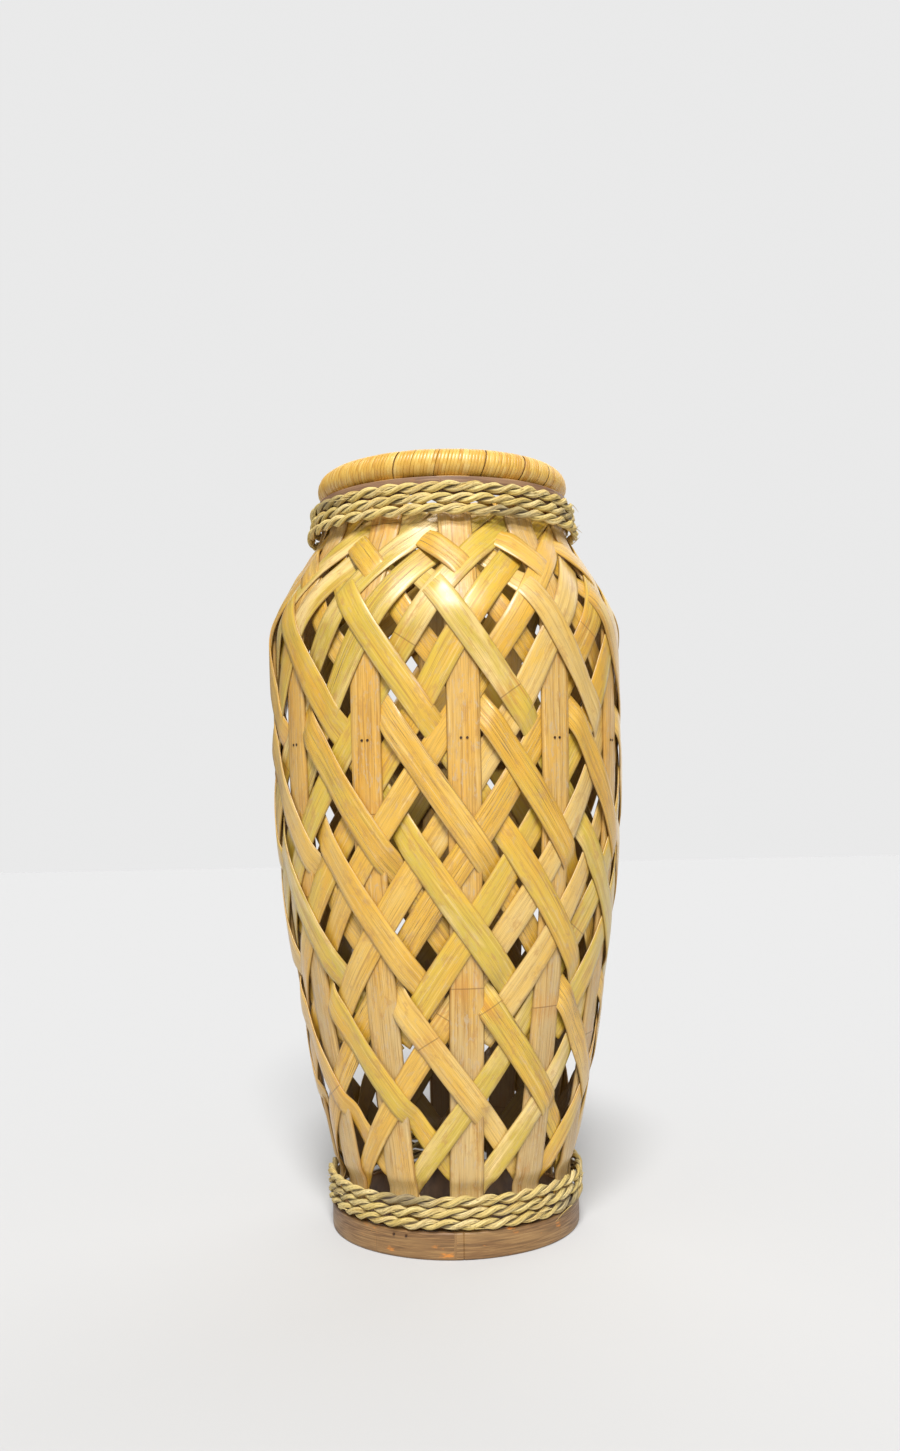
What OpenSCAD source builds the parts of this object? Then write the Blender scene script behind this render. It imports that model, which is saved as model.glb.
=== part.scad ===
// Woven bamboo floor vase: an open barrel of upright stakes and diagonal strips,
// bound with seagrass rope at the neck and the foot and closed by a wrapped rim.
// Millimetres, +Z up. The origin is the centre of the foot's lower face.

/* [Body] */
// Height at which the stakes end, just under the rim
stake_top_z = 577; // [540:1:692]
// Radius of the weave's middle surface at the belly
belly_r = 137.5; // [125:0.5:165]
// Radius of the weave's middle surface at the neck
neck_r = 95.5; // [80:0.5:115]
// Radius of the weave's middle surface at the foot
foot_r = 92; // [80:0.5:110]
// Widening from the foot to the flank, just above the foot rope
foot_flare = 4.5; // [1:0.5:12]
// Height of the upper end of the straight foot
foot_straight_z = 46; // [44:1:55]
// Height at which the flank starts
flank_z = 58; // [56:1:80]
// Height at which the belly becomes upright
belly_low_z = 390; // [340:1:420]
// Height at which the shoulder starts
shoulder_z = 464; // [440:1:480]
// Depth from the stake tops to the lower end of the straight neck
neck_straight_h = 12; // [8:1:20]

/* [Stakes] */
// Number of upright stakes; the weave repeats at each
stake_count = 12; // [10:1:13]
// Width of a stake
stake_w = 25; // [18:0.5:28]
// Thickness of a stake
stake_t = 2.6; // [2:0.1:3.5]
// Angle of the first stake, counted to the right of the front
stake_start_a = 5; // [-15:0.5:15]

/* [Diagonal strips] */
// Width of a diagonal strip
strip_w = 20.5; // [12:0.5:22]
// Thickness of a diagonal strip
strip_t = 1.2; // [0.8:0.1:1.6]
// Angle between a diagonal strip and the upright
strip_lean_a = 34; // [30:0.5:38]
// Space between two strips where they cross
cross_gap = 0.35; // [0.1:0.05:0.6]
// Height at which a long falling strip crosses its stake
fall_long_z = 316; // [300:1:330]
// Height at which a short falling strip crosses its stake
fall_short_z = 357; // [345:1:365]
// Height at which a long rising strip crosses its stake
rise_long_z = 301; // [290:1:310]
// Height at which a short rising strip crosses its stake
rise_short_z = 344; // [335:1:352]
// Height of the lower end of the short falling strips
fall_short_end_z = 152; // [130:1:190]
// Height of the lower end of the short rising strips
rise_short_end_z = 163; // [130:1:190]
// Height of the lower end of the long strips, behind the foot rope
long_end_z = 28; // [28:1:36]
// Depth from the neck hoop to the upper ends of all the strips, behind the neck rope
strip_top_drop = 7.5; // [7.5:0.5:12]

/* [Hoops and floor] */
// Height of the foot hoops
foot_hoop_h = 20.5; // [14:0.5:21]
// Thickness of the outer foot hoop
foot_hoop_t = 6.25; // [4:0.25:10]
// Thickness of the inner foot hoop
inner_foot_t = 3; // [2:0.1:5]
// Height of the floor disc's lower face
floor_z = 14; // [10:0.5:16]
// Thickness of the floor disc
floor_t = 6; // [4:0.5:6]
// Height of the waist hoop's centre above the short falling strips that cross the stakes
waist_lift = 6.5; // [4:0.5:10]
// Height of the waist hoop
waist_h = 18; // [12:1:24]
// Thickness of the waist hoop
waist_t = 3; // [2:0.1:5]
// Height of the outer neck hoop
neck_hoop_h = 12.5; // [10:0.5:14]
// Thickness of the outer neck hoop
neck_hoop_t = 3.6; // [2:0.1:5]
// Thickness of the inner neck hoop
inner_neck_t = 3; // [2:0.1:4]
// Space between a stake and a hoop that clamps it
hoop_gap = 0.15; // [0.1:0.05:0.4]

/* [Ropes] */
// Height of a rope's flattened section
rope_h = 8; // [6:0.1:9.6]
// Depth of a rope's flattened section
rope_d = 5.4; // [4:0.1:7]
// Turns in each winding
rope_turns = 3; // [2:1:3]
// Angle at the back in which a winding steps up to its next turn
rope_step_a = 45; // [30:5:90]
// Space between one turn and the next
rope_turn_gap = 0.5; // [0.3:0.1:1.5]
// Depth from the neck hoop to the lowest turn's centre at the neck
neck_rope_drop = 13.5; // [12:0.5:16]
// Height of the lowest turn's centre at the foot
foot_rope_z = 26; // [25:0.5:28]
// Space between a rope and what it is wound on
rope_gap = 0.5; // [0.3:0.1:1.5]

/* [Rim] */
// Radius of the wrapped rim's section
rim_tube_r = 11.5; // [9:0.1:14]
// Distance from the stakes' middle surface in to the rim's centre line
rim_inset = 6.75; // [4:0.25:8]
// Thickness of the wound strip on the rim
wrap_t = 1.2; // [0.8:0.1:2]
// Space between the winding and the core
wrap_gap = 0.2; // [0.1:0.05:0.5]

/* [Nails] */
// Radius of a nail's shank
nail_r = 0.55; // [0.4:0.05:0.8]
// Radius of a nail's head
nail_head_r = 0.95; // [0.9:0.05:1.4]
// Thickness of a nail's head
nail_head_t = 0.5; // [0.3:0.1:0.8]
// Clearance round a nail's shank
nail_gap = 0.05; // [0.02:0.01:0.2]
// Distance between the two nails in one stake at the waist and the neck
nail_pair_w = 4.5; // [3.5:0.5:10]
// Distance between the two nails in one stake at the foot
foot_pair_w = 9.5; // [4:0.5:14]
// Number of stakes from one pair of foot nails to the next
foot_nail_every = 4; // [2:1:4]

/* [Hidden] */
$fn = 96;
head_sink = 0.05;
pin_sides = 24;
// Height of the lower ends of the stakes and the inner foot hoop above the floor
off_floor = 0.5;
// Spacing of the points along a stake, and the arc that its blank is turned through
z_step = 11.5;
blank_a = 40;
shoulder_end_z = stake_top_z - neck_straight_h;
stake_step_a = 360 / stake_count;
stakes = [for (i = [0:stake_count - 1]) i];
flank_r = foot_r + foot_flare;
rope_pitch = rope_h + rope_turn_gap;
neck_hoop_drop = 1;
neck_hoop_z = stake_top_z - neck_hoop_drop - neck_hoop_h;
strip_top_z = neck_hoop_z - strip_top_drop;
neck_rope_z = neck_hoop_z - neck_rope_drop;

// Levels of the layers, measured outwards from the weave's middle surface
rise_level = (stake_t + strip_t) / 2 + cross_gap;
fall_level = rise_level + strip_t + cross_gap;
weave_half = fall_level + strip_t / 2;
// Spacing of the sections of a strip, measured along it
strip_step = 15.5;
// Where the falling strips change level, counted in spaces between long rising strips
// from the crossing nearest the strip's own stake
long_changes = [-4.85, -3.85, -1.7, 0.3, 2.3, 4.3, 6.3];
short_changes = [-3.2, -1.2, 0.3, 2.3, 4.3, 6.3];
change_rate = 9;
hold_rate = 1.35;
// Share of the space to the next strip that a strip fills where they crowd
crowd_share = 0.99;
// Sine of the greatest lean that a strip takes on the shoulder
greatest_lean_sin = 0.85;

foot_in_r = foot_r - stake_t / 2 - hoop_gap;
foot_out_r = foot_r + stake_t / 2 + hoop_gap;
neck_in_r = neck_r - stake_t / 2 - hoop_gap;
neck_out_r = neck_r + stake_t / 2 + hoop_gap;
foot_hoop_r = foot_out_r + foot_hoop_t;
rim_ring_r = neck_r - rim_inset;
// The rim rests on the inner edges of the stake tops
rim_z = stake_top_z + hoop_gap + sqrt(pow(rim_tube_r, 2) - pow(rim_inset - stake_t / 2, 2));
core_r = rim_tube_r - wrap_t - wrap_gap;
// The inner neck hoop stands between the ends of the strips and the rim's core
inner_neck_in_r = neck_in_r - inner_neck_t;
inner_neck_z = strip_top_z + strip_w / 2;
inner_neck_top_z = rim_z - sqrt(pow(core_r, 2) - pow(inner_neck_in_r - rim_ring_r, 2)) - wrap_gap;
floor_r = foot_in_r - inner_foot_t - hoop_gap;
waist_z = fall_short_z + strip_w / 2 / sin(strip_lean_a) + waist_lift;
// Depth of a foot nail in the floor disc
nail_bite = 6;
nail_foot_z = floor_z + floor_t / 2;
nail_neck_z = neck_hoop_z + neck_hoop_h / 2;
nail_hole_r = nail_r + nail_gap;
// How far a nail hole's cutter runs past a band, and past a stake, whose face is curved
hole_over = 1;
hole_reach = 8;
foot_nailed = [for (i = [stake_count - 1:-foot_nail_every:0]) i];
rope_sides = 8;
rope_turn_steps = 24;

// Middle surface: straight foot, short flare, sine flank, upright belly,
// half-wave shoulder and straight neck
function flare(z) = foot_r + (flank_r - foot_r)
    * (1 - cos(90 * (z - foot_straight_z) / (flank_z - foot_straight_z)));
function flank(z) = flank_r + (belly_r - flank_r)
    * sin(90 * (z - flank_z) / (belly_low_z - flank_z));
function shoulder(z) = neck_r + (belly_r - neck_r)
    * (1 + cos(180 * (z - shoulder_z) / (shoulder_end_z - shoulder_z))) / 2;
function mid_r(z) =
    z <= foot_straight_z ? foot_r :
    z <= flank_z ? flare(z) :
    z <= belly_low_z ? flank(z) :
    z <= shoulder_z ? belly_r :
    z <= shoulder_end_z ? shoulder(z) : neck_r;
function slope_at(z) = mid_r(z + 0.5) - mid_r(z - 0.5);
function along(z) = sqrt(1 + pow(slope_at(z), 2));

// Angle between a strip and the upright: above the belly a strip runs straight over the
// narrowing shoulder, so that it leans more and more
function lean_at(z) = z < belly_low_z
    ? strip_lean_a
    : asin(min(greatest_lean_sin, sin(strip_lean_a) * belly_r / mid_r(z)));
// Degrees that a strip turns through for each millimetre of height
function turn_rate(z) = tan(lean_at(z)) * along(z) / mid_r(z) * 180 / PI;
function path_rate(z) = along(z) / cos(lean_at(z));
// Degrees that a strip has turned through at each height
turn_step = 2;
turn_table = [
    for (
        z = 0, a = 0;
        z <= stake_top_z + 2 * turn_step;
        a = a + turn_step * turn_rate(z + turn_step / 2), z = z + turn_step
    ) a
];
function turn_at(z) = let (i = floor(z / turn_step), f = z / turn_step - i)
    turn_table[i] * (1 - f) + turn_table[i + 1] * f;

// Length of a strip from the floor up to each height
path_table = [
    for (
        z = 0, p = 0;
        z <= stake_top_z + 2 * turn_step;
        p = p + turn_step * path_rate(z + turn_step / 2), z = z + turn_step
    ) [z, p]
];
height_table = [for (row = path_table) [row[1], row[0]]];

// Long and short strips lie in pairs on the flank and space out evenly at the neck
fall_pair_a = turn_at(fall_short_z) - turn_at(fall_long_z);
rise_pair_a = turn_at(rise_short_z) - turn_at(rise_long_z);
fall_even_a = fall_pair_a - stake_step_a / 2;
rise_even_a = rise_pair_a - stake_step_a / 2;
function evened(z) = let (x = max(0, min(1, (z - belly_low_z) / (shoulder_z - belly_low_z))))
    (1 - cos(180 * x)) / 2;

// Angle of strip k of a family at height z: side is 1 for rising, -1 for falling
function strip_a(side, cross_z, k, z) =
    stake_start_a + k * stake_step_a + side * (turn_at(z) - turn_at(cross_z))
        + (cross_z == fall_long_z ? fall_even_a : 0) * evened(z)
        + (cross_z == rise_short_z ? rise_even_a : 0) * evened(z);

// Width of a strip at height z: no more than the space to its neighbour
function strip_w_at(z) =
    let (
        pair_a = min(fall_pair_a, rise_pair_a),
        space_a = pair_a + (stake_step_a / 2 - pair_a) * evened(z)
    )
    min(strip_w, crowd_share * mid_r(z) * space_a * PI / 180 * cos(lean_at(z)));

function clamp1(x) = max(-1, min(1, x));
// Level of a rising strip at angle a: over one stake, under the next
function rise_level_at(sign, k, a) =
    sign * rise_level * clamp1(hold_rate * cos(180 * ((a - stake_start_a) / stake_step_a - k)));
function product(v, i = 0) = i == len(v) ? 1 : v[i] * product(v, i + 1);
// Level of a falling strip: over four rising strips and a stake, then under as many,
// but over only two where it comes down from the neck
function fall_level_at(sign, k, a, z) =
    let (
        cross = (a - strip_a(1, rise_long_z, 0, z)) / stake_step_a - k,
        changes = sign > 0 ? long_changes : short_changes
    )
    sign * fall_level * product([for (c = changes) clamp1(change_rate * (cross - c))]);

function at(r, a, z) = [r * sin(a), -r * cos(a), z];

// One corner pair of a strip's section: inner and outer point of an edge.
// side is the strip's family and edge is 1 for its right edge, -1 for its left one
function strip_edge(side, sign, cross_z, k, z, edge) =
    let (
        lean = lean_at(z),
        w = strip_w_at(z) / 2,
        ez = z - side * edge * w * sin(lean) / along(z),
        r = mid_r(ez),
        a = strip_a(side, cross_z, k, z) + edge * w * cos(lean) / mid_r(z) * 180 / PI,
        level = side > 0 ? rise_level_at(sign, k, a) : fall_level_at(sign, k, a, ez)
    )
    [at(r + level - strip_t / 2, a, ez), at(r + level + strip_t / 2, a, ez)];

// The two triangles between edge a-b of one ring and the same edge of the next
function side_faces(a, b, n, crossed) = crossed
    ? [[a, b, a + n], [b, b + n, a + n]]
    : [[a, b, b + n], [a, b + n, a + n]];

// A bar swept through rings of n points, closed at both ends. The faces on opposite
// sides are split along the same diagonal, so that a thin bar keeps its thickness
module swept(rings, n, crossed) {
    count = len(rings);
    sides = [
        for (i = [0:count - 2], j = [0:n - 1])
            each side_faces(i * n + j, i * n + (j + 1) % n, n, (j < n / 2) == crossed)
    ];
    start = [for (j = [n - 1:-1:0]) j];
    end = [for (j = [0:n - 1]) (count - 1) * n + j];
    polyhedron(points = [for (r = rings) each r], faces = concat(sides, [start, end]));
}

// A woven strip from bottom_z to the neck
module strip(side, sign, cross_z, k, bottom_z) {
    start_p = lookup(bottom_z, path_table);
    length = lookup(strip_top_z, path_table) - start_p;
    steps = ceil(length / strip_step);
    rings = [
        for (i = [0:steps])
            let (
                z = lookup(start_p + length * i / steps, height_table),
                left = strip_edge(side, sign, cross_z, k, z, -1),
                right = strip_edge(side, sign, cross_z, k, z, 1)
            )
            [left[0], left[1], right[1], right[0]]
    ];
    swept(rings, 4, side > 0);
}

// A flat band round the axis
module hoop(r_in, r_out, z, h) {
    rotate_extrude()
        translate([r_in, z])
            square([r_out - r_in, h]);
}

// A radial cylinder from radius r0 to r1 at angle a and height z
module radial_pin(r, r0, r1, a, z) {
    rotate([0, 0, a])
        translate([0, -r0, z])
            rotate([90, 0, 0])
                cylinder(r = r, h = r1 - r0, $fn = pin_sides);
}

function pair_a(i, e, r, w) = stake_start_a + i * stake_step_a + e * asin(w / 2 / r);

// Both nail positions of the stakes in which, w apart on a circle of radius at_r
module nail_row(which, w, shank_r, r0, r1, z, at_r) {
    for (i = which, e = [-1, 1])
        radial_pin(shank_r, r0, r1, pair_a(i, e, at_r, w), z);
}

module foot_row(shank_r, r0, r1, which = foot_nailed) {
    nail_row(which, foot_pair_w, shank_r, r0, r1, nail_foot_z, foot_r);
}

module waist_row(shank_r, r0, r1, which = stakes) {
    nail_row(which, nail_pair_w, shank_r, r0, r1, waist_z, mid_r(waist_z));
}

module neck_row(shank_r, r0, r1, which = stakes) {
    nail_row(which, nail_pair_w, shank_r, r0, r1, nail_neck_z, neck_r);
}

stake_outline = concat(
    [for (z = [off_floor:z_step:stake_top_z - z_step]) [mid_r(z), z]],
    [[neck_r, shoulder_end_z], [neck_r, stake_top_z]]
);

function outline_side(d) = [for (p = stake_outline) [p[0] + d, p[1]]];
function backwards(v) = [for (i = [len(v) - 1:-1:0]) v[i]];

function own_foot_nails(i) = [for (n = foot_nailed) if (n == i) n];

module stake(i) {
    a = stake_start_a + i * stake_step_a;
    color([0.86, 0.70, 0.46])
        difference() {
            intersection() {
                rotate([0, 0, a - 90 - blank_a / 2])
                    rotate_extrude(angle = blank_a)
                        polygon(concat(outline_side(-stake_t / 2), backwards(outline_side(stake_t / 2))));
                rotate([0, 0, a])
                    translate([-stake_w / 2, -2 * belly_r, 0])
                        cube([stake_w, 2 * belly_r, stake_top_z]);
            }
            foot_row(nail_hole_r, foot_r - hole_reach, foot_r + hole_reach, own_foot_nails(i));
            waist_row(nail_hole_r, mid_r(waist_z) - hole_reach, mid_r(waist_z) + hole_reach, [i]);
            neck_row(nail_hole_r, neck_r - hole_reach, neck_r + hole_reach, [i]);
        }
}

module fall_long(k) {
    color([0.91, 0.75, 0.38])
        strip(-1, 1, fall_long_z, k, long_end_z);
}

module fall_short(ks) {
    color([0.88, 0.70, 0.34])
        for (k = ks)
            strip(-1, -1, fall_short_z, k, fall_short_end_z);
}

module rise_long(k) {
    color([0.86, 0.72, 0.40])
        strip(1, 1, rise_long_z, k, long_end_z);
}

module rise_short(ks) {
    color([0.82, 0.68, 0.36])
        for (k = ks)
            strip(1, -1, rise_short_z, k, rise_short_end_z);
}

module foot_hoop() {
    color([0.66, 0.42, 0.24])
        difference() {
            hoop(foot_out_r, foot_hoop_r, 0, foot_hoop_h);
            foot_row(nail_hole_r, foot_out_r - hole_over, foot_hoop_r + hole_over);
        }
}

module inner_foot_hoop() {
    color([0.58, 0.36, 0.20])
        difference() {
            hoop(foot_in_r - inner_foot_t, foot_in_r, off_floor, foot_hoop_h);
            foot_row(nail_hole_r, foot_in_r - inner_foot_t - hole_over, foot_in_r + hole_over);
        }
}

module floor_disc() {
    color([0.45, 0.29, 0.17])
        difference() {
            translate([0, 0, floor_z])
                cylinder(r = floor_r, h = floor_t);
            foot_row(nail_hole_r, floor_r - nail_bite, floor_r + hole_over);
        }
}

waist_in_r = mid_r(waist_z) - weave_half - cross_gap - waist_t;
module waist_hoop() {
    color([0.62, 0.42, 0.22])
        difference() {
            hoop(waist_in_r, waist_in_r + waist_t, waist_z - waist_h / 2, waist_h);
            waist_row(nail_hole_r, waist_in_r - hole_over, waist_in_r + waist_t + hole_over);
        }
}

module neck_hoop() {
    color([0.72, 0.50, 0.38])
        difference() {
            hoop(neck_out_r, neck_out_r + neck_hoop_t, neck_hoop_z, neck_hoop_h);
            neck_row(nail_hole_r, neck_out_r - hole_over, neck_out_r + neck_hoop_t + hole_over);
        }
}

module inner_neck_hoop() {
    color([0.62, 0.42, 0.24])
        difference() {
            hoop(inner_neck_in_r, neck_in_r, inner_neck_z, inner_neck_top_z - inner_neck_z);
            neck_row(nail_hole_r, inner_neck_in_r - hole_over, neck_in_r + hole_over);
        }
}

module foot_nails() {
    color([0.30, 0.27, 0.25]) {
        foot_row(nail_r, floor_r - nail_bite, foot_hoop_r + head_sink);
        foot_row(nail_head_r, foot_hoop_r, foot_hoop_r + nail_head_t);
    }
}

module waist_nails() {
    r = mid_r(waist_z);
    color([0.30, 0.27, 0.25]) {
        waist_row(nail_r, waist_in_r, r + stake_t / 2 + head_sink);
        waist_row(nail_head_r, r + stake_t / 2, r + stake_t / 2 + nail_head_t);
    }
}

module neck_nails() {
    color([0.30, 0.27, 0.25]) {
        neck_row(nail_r, inner_neck_in_r, neck_out_r + neck_hoop_t + head_sink);
        neck_row(nail_head_r, neck_out_r + neck_hoop_t, neck_out_r + neck_hoop_t + nail_head_t);
    }
}

// Outermost radius of what a rope is wound on at height z
function wound_on_r(z) = z > neck_hoop_z
    ? max(mid_r(z) + weave_half, neck_out_r + neck_hoop_t)
    : mid_r(z) + weave_half;

// Turns climbed after turning through angle a: level turns joined by a short rise
function climbed(a) = let (turn = floor(a / 360), left = 360 * (turn + 1) - a)
    turn + (left < rope_step_a ? (1 + cos(180 * left / rope_step_a)) / 2 : 0);

// A rope wound round the axis upwards from z0, flattened against what it holds.
// It starts at the back and stops short of the last rise
module wound_rope(z0) {
    steps = floor((360 * rope_turns - rope_step_a) * rope_turn_steps / 360);
    rings = [
        for (i = [0:steps])
            let (
                a = 360 * i / rope_turn_steps + 180,
                z = z0 + rope_pitch * climbed(360 * i / rope_turn_steps),
                base = max(wound_on_r(z - rope_h / 2), wound_on_r(z), wound_on_r(z + rope_h / 2)),
                r = (base + rope_gap + rope_d / 2) / cos(180 / rope_turn_steps)
            )
            [
                for (j = [0:rope_sides - 1])
                    let (b = 360 * (j + 0.5) / rope_sides)
                    at(r + rope_d / 2 * cos(b), a, z + rope_h / 2 * sin(b))
            ]
    ];
    swept(rings, rope_sides, false);
}

module neck_rope() {
    color([0.80, 0.70, 0.42])
        wound_rope(neck_rope_z);
}

module foot_rope() {
    color([0.76, 0.66, 0.38])
        wound_rope(foot_rope_z);
}

module rim_core() {
    color([0.70, 0.50, 0.28])
        rotate_extrude()
            translate([rim_ring_r, rim_z])
                circle(r = core_r);
}

// The winding is open underneath where the inner neck hoop enters it
module rim_wrap() {
    color([0.85, 0.64, 0.28])
        rotate_extrude()
            difference() {
                translate([rim_ring_r, rim_z])
                    circle(r = rim_tube_r);
                translate([rim_ring_r, rim_z])
                    circle(r = core_r + wrap_gap);
                translate([inner_neck_in_r - wrap_gap, rim_z - 2 * rim_tube_r])
                    square([inner_neck_t + 2 * wrap_gap, 2 * rim_tube_r]);
            }
}

function numbered(name, i) = str(name, i < 9 ? "_0" : "_", i + 1);
// The short strips share a node in groups of three neighbours
group_size = 3;
groups = [for (g = [0:ceil(stake_count / group_size) - 1]) g];
function members(g) = [for (k = [g * group_size:min(stake_count, (g + 1) * group_size) - 1]) k];

foot_hoop();
inner_foot_hoop();
floor_disc();
foot_nails();
foot_rope();
waist_hoop();
waist_nails();
neck_hoop();
inner_neck_hoop();
neck_nails();
neck_rope();
rim_core();
rim_wrap();
for (i = stakes) {
    stake(i);
    fall_long(i);
    rise_long(i);
}
for (g = groups) {
    fall_short(members(g));
    rise_short(members(g));
}
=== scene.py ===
"""Looks of the woven bamboo floor vase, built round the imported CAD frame.

Lengths are in millimetres until a mesh is made, which is where they become metres.
Angles are in degrees, counted to the right of the front (-Y) as seen from the front.
"""

import math
import random

import bpy
import numpy as np
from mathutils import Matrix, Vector


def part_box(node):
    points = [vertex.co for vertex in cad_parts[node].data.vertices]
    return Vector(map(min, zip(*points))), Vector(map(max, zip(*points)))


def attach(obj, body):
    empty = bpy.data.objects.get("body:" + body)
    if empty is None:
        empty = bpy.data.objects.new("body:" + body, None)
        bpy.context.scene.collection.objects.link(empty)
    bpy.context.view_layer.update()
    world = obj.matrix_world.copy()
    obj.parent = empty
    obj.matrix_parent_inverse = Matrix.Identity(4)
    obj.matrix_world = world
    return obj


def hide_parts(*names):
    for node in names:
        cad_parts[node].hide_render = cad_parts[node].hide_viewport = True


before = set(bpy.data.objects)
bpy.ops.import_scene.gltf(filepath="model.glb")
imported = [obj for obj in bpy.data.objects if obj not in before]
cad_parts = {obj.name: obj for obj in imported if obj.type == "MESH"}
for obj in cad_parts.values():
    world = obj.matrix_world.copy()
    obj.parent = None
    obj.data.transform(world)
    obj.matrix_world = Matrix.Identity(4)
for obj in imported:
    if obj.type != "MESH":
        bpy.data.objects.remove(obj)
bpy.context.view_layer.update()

MM = 0.001

# ---------------------------------------------------------------- sizes from the frame


def node_box_mm(node):
    """Lowest and highest corner of a CAD node in millimetres."""
    low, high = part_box(node)
    return np.array(low) / MM, np.array(high) / MM


STAKE_TOP = node_box_mm("stake_01")[1][2]
FOOT_HOOP_LOW, FOOT_HOOP_HIGH = node_box_mm("foot_hoop")
NECK_HOOP_LOW, NECK_HOOP_HIGH = node_box_mm("neck_hoop")
RIM_LOW, RIM_HIGH = node_box_mm("rim_wrap")
FOOT_ROPE_Z = node_box_mm("foot_rope")[0][2]
NECK_ROPE_Z = node_box_mm("neck_rope")[0][2]

# ---------------------------------------------------------------- the weave, as in the CAD part

STAKES = 12
STEP = 360 / STAKES
START = 5.0
STAKE_W, STAKE_T = 25.0, 2.6
STRIP_W, STRIP_T = 20.5, 1.2
LEAN = 34.0
GREATEST_LEAN_SIN = 0.85
GAP = 0.1
CAD_GAP = 0.35
WEAVE_HALF = (STAKE_T + STRIP_T) / 2 + CAD_GAP + STRIP_T + CAD_GAP + STRIP_T / 2
BELLY_R, NECK_R, FOOT_R, FLANK_R = 137.5, 95.5, 92.0, 96.5
FOOT_STRAIGHT, FLANK_Z, BELLY_LOW, SHOULDER = 46.0, 58.0, 390.0, 464.0
NECK_STRAIGHT, STRIP_TOP_DROP = 12.0, 7.5
SHOULDER_END = STAKE_TOP - NECK_STRAIGHT
FALL_LONG, FALL_SHORT, RISE_LONG, RISE_SHORT = 316.0, 357.0, 301.0, 344.0
FALL_SHORT_END, RISE_SHORT_END, LONG_END = 152.0, 163.0, 28.0
STRIP_TOP = NECK_HOOP_LOW[2] - STRIP_TOP_DROP
CROWD_SHARE = 0.99
HOLD_RATE, CHANGE_RATE = 1.35, 8.0
LONG_CHANGES = (-4.85, -3.85, -1.7, 0.3, 2.3, 4.3, 6.3)
SHORT_CHANGES = (-3.2, -1.2, 0.3, 2.3, 4.3, 6.3)


def mid_r(z):
    """Radius of the weave's middle surface at height z."""
    z = np.asarray(z, float)
    flare = FOOT_R + (FLANK_R - FOOT_R) * (
        1 - np.cos(np.pi / 2 * (z - FOOT_STRAIGHT) / (FLANK_Z - FOOT_STRAIGHT))
    )
    flank = FLANK_R + (BELLY_R - FLANK_R) * np.sin(
        np.pi / 2 * (z - FLANK_Z) / (BELLY_LOW - FLANK_Z)
    )
    shoulder = NECK_R + (BELLY_R - NECK_R) * (
        1 + np.cos(np.pi * (z - SHOULDER) / (SHOULDER_END - SHOULDER))
    ) / 2
    foot, belly = np.full_like(z, FOOT_R), np.full_like(z, BELLY_R)
    places = [z <= FOOT_STRAIGHT, z <= FLANK_Z, z <= BELLY_LOW, z <= SHOULDER, z <= SHOULDER_END]
    return np.select(places, [foot, flare, flank, belly, shoulder], NECK_R)


def slope(z):
    """Change of the middle surface's radius per millimetre of height."""
    return mid_r(z + 1.0) / 2 - mid_r(z - 1.0) / 2


def lean_at(z):
    """Angle in radians between a strip and the upright: greater over the narrowing shoulder."""
    above = np.arcsin(np.minimum(GREATEST_LEAN_SIN, math.sin(math.radians(LEAN)) * BELLY_R / mid_r(z)))
    return np.where(np.asarray(z) < BELLY_LOW, math.radians(LEAN), above)


_HEIGHTS = np.linspace(0, 600, 1201)
_RATE = np.degrees(np.tan(lean_at(_HEIGHTS)) * np.sqrt(1 + slope(_HEIGHTS) ** 2) / mid_r(_HEIGHTS))
_TURNED = np.concatenate([[0], np.cumsum((_RATE[1:] + _RATE[:-1]) / 2 * np.diff(_HEIGHTS))])


def turned(z):
    """Degrees that a strip has turned through at height z."""
    return np.interp(z, _HEIGHTS, _TURNED)


EVEN_OUT = {
    FALL_LONG: turned(FALL_SHORT) - turned(FALL_LONG) - STEP / 2,
    RISE_SHORT: turned(RISE_SHORT) - turned(RISE_LONG) - STEP / 2,
}


def evened(z):
    """0 on the flank, where strips lie in pairs, rising to 1 where they are evenly spaced."""
    share = np.clip((z - BELLY_LOW) / (SHOULDER - BELLY_LOW), 0, 1)
    return (1 - np.cos(np.pi * share)) / 2


def strip_angle(side, cross_z, k, z):
    """Angle of strip k of a family at height z; side is 1 for rising, -1 for falling."""
    shift = evened(z) * EVEN_OUT.get(cross_z, 0)
    return START + k * STEP + side * (turned(z) - turned(cross_z)) + shift


def strip_width(z):
    """Width of a strip at height z: no more than the space to its neighbour."""
    pair = min(turned(FALL_SHORT) - turned(FALL_LONG), turned(RISE_SHORT) - turned(RISE_LONG))
    space = pair + (STEP / 2 - pair) * evened(z)
    return np.minimum(STRIP_W, CROWD_SHARE * mid_r(z) * np.radians(space) * np.cos(lean_at(z)))


def near_stake(a):
    """1 across a stake, 0 midway between two, with the sign of the nearest even stake."""
    return np.clip(HOLD_RATE * np.cos(np.pi * (a - START) / STEP), -1, 1)


def woven_sign(cross, changes):
    """1 or -1, changing softly at each of the changes."""
    sign = np.ones_like(cross)
    for change in changes:
        sign = sign * np.tanh(CHANGE_RATE * (cross - change))
    return sign


def surface(a, z, lift):
    """Points at angle a and height z, lifted off the middle surface along its normal."""
    s = slope(z)
    n = np.sqrt(1 + s * s)
    r = mid_r(z) + lift / n
    rad = np.radians(a)
    return np.stack([r * np.sin(rad), -r * np.cos(rad), z - lift * s / n], axis=-1)


# ---------------------------------------------------------------- meshes


def link(obj):
    """Put an object into the scene."""
    bpy.context.scene.collection.objects.link(obj)
    return obj


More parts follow.
